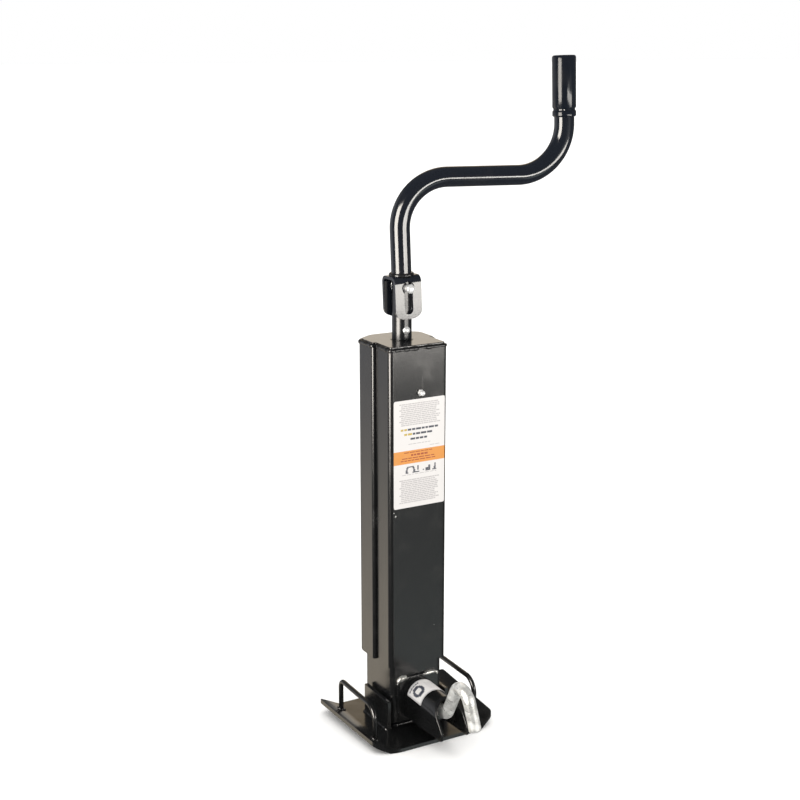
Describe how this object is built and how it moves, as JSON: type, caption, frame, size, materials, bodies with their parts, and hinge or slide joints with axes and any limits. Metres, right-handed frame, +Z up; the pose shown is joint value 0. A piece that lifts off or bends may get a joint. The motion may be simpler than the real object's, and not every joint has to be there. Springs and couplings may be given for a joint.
{
  "type": "tongue jack stand",
  "caption": "Square screw jack stand with a fold-down crank on top, a sliding drop leg held by a lock pin, and a flanged foot plate with rod loops.",
  "frame": {"origin": "on the screw axis, on the plane of the foot plate's underside", "axes": "+X to the right seen from the front, +Y to the back (the side that is welded to the trailer), +Z up"},
  "size_m": [0.3213, 0.2526, 0.8666],
  "materials": {
    "black_paint": "gloss black paint",
    "crank_paint": "gloss blue-black paint",
    "galvanised": "satin galvanised",
    "bright_zinc": "bright zinc plate",
    "bare_steel": "oiled steel",
    "bronze": "oiled bronze",
    "label": "printed film"
  },
  "bodies": {
    "housing": {"front_shell": "black_paint", "rear_shell": "black_paint", "top_plate": "black_paint", "top_weld": "black_paint", "grease_fitting": "bright_zinc", "main_label": "label", "shaft_washer": "black_paint", "shaft_bushing": "bronze", "bearing_upper_race": "bare_steel", "bearing_balls": "bare_steel"},
    "screw": {"bearing_lower_race": "bare_steel", "thrust_collar": "bare_steel", "collar_pin": "bare_steel", "lead_screw": "bare_steel", "screw_end_stop": "bare_steel", "input_shaft": "black_paint", "shaft_rivet": "bright_zinc"},
    "fold_pin": {"fold_pin": "bright_zinc"},
    "crank": {"crank_bracket": "crank_paint", "crank_weld": "crank_paint", "crank_tube": "crank_paint"},
    "grip": {"crank_grip": "crank_paint", "grip_cap": "crank_paint"},
    "ram": {"ram_tube": "black_paint", "ram_top_plate": "bare_steel", "lead_nut": "bronze", "pin_boss_plate": "black_paint", "boss_weld": "black_paint", "pin_guard": "black_paint", "pin_guard_label": "label", "pin_guide": "black_paint", "pin_spring": "bare_steel"},
    "lock_pin": {"lock_pin": "galvanised", "pin_collar": "galvanised"},
    "drop_leg": {"drop_leg": "black_paint", "foot_plate": "black_paint", "left_gusset": "black_paint", "right_gusset": "black_paint", "leg_weld": "black_paint", "left_foot_loop": "black_paint", "right_foot_loop": "black_paint"}
  },
  "joints": [
    {"name": "crank_spin", "type": "hinge", "parent": "housing", "child": "screw", "pos_m": [0, 0, 0.5], "axis": [0, 0, -1], "range_deg": [0, 17280]},
    {"name": "ram_slide", "type": "slide", "parent": "housing", "child": "ram", "axis": [0, 0, -1], "range_m": [0, 0.2881]},
    {"name": "crank_fold", "type": "hinge", "parent": "screw", "child": "fold_pin", "pos_m": [0, 0, 0.585], "axis": [0, 1, 0], "range_deg": [0, 90]},
    {"name": "crank_lift", "type": "slide", "parent": "fold_pin", "child": "crank", "axis": [-0.0401, 0, 0.9992], "range_m": [0, 0.0271]},
    {"name": "grip_spin", "type": "hinge", "parent": "crank", "child": "grip", "pos_m": [0.20843, -0.04436, 0.82856], "axis": [-0.0401, 0, 0.9992], "continuous": true},
    {"name": "lock_pin_slide", "type": "slide", "parent": "ram", "child": "lock_pin", "axis": [0, 1, 0], "range_m": [0, 0.006]},
    {"name": "drop_leg_slide", "type": "slide", "parent": "ram", "child": "drop_leg", "axis": [0, 0, -1], "range_m": [0, 0.3]}
  ],
  "couplings": [
    {"joint": "ram_slide", "follows": "crank_spin", "m_per_rad": 0.00095493},
    {"joint": "crank_lift", "follows": "crank_fold", "m_per_rad": 0.017189}
  ]
}
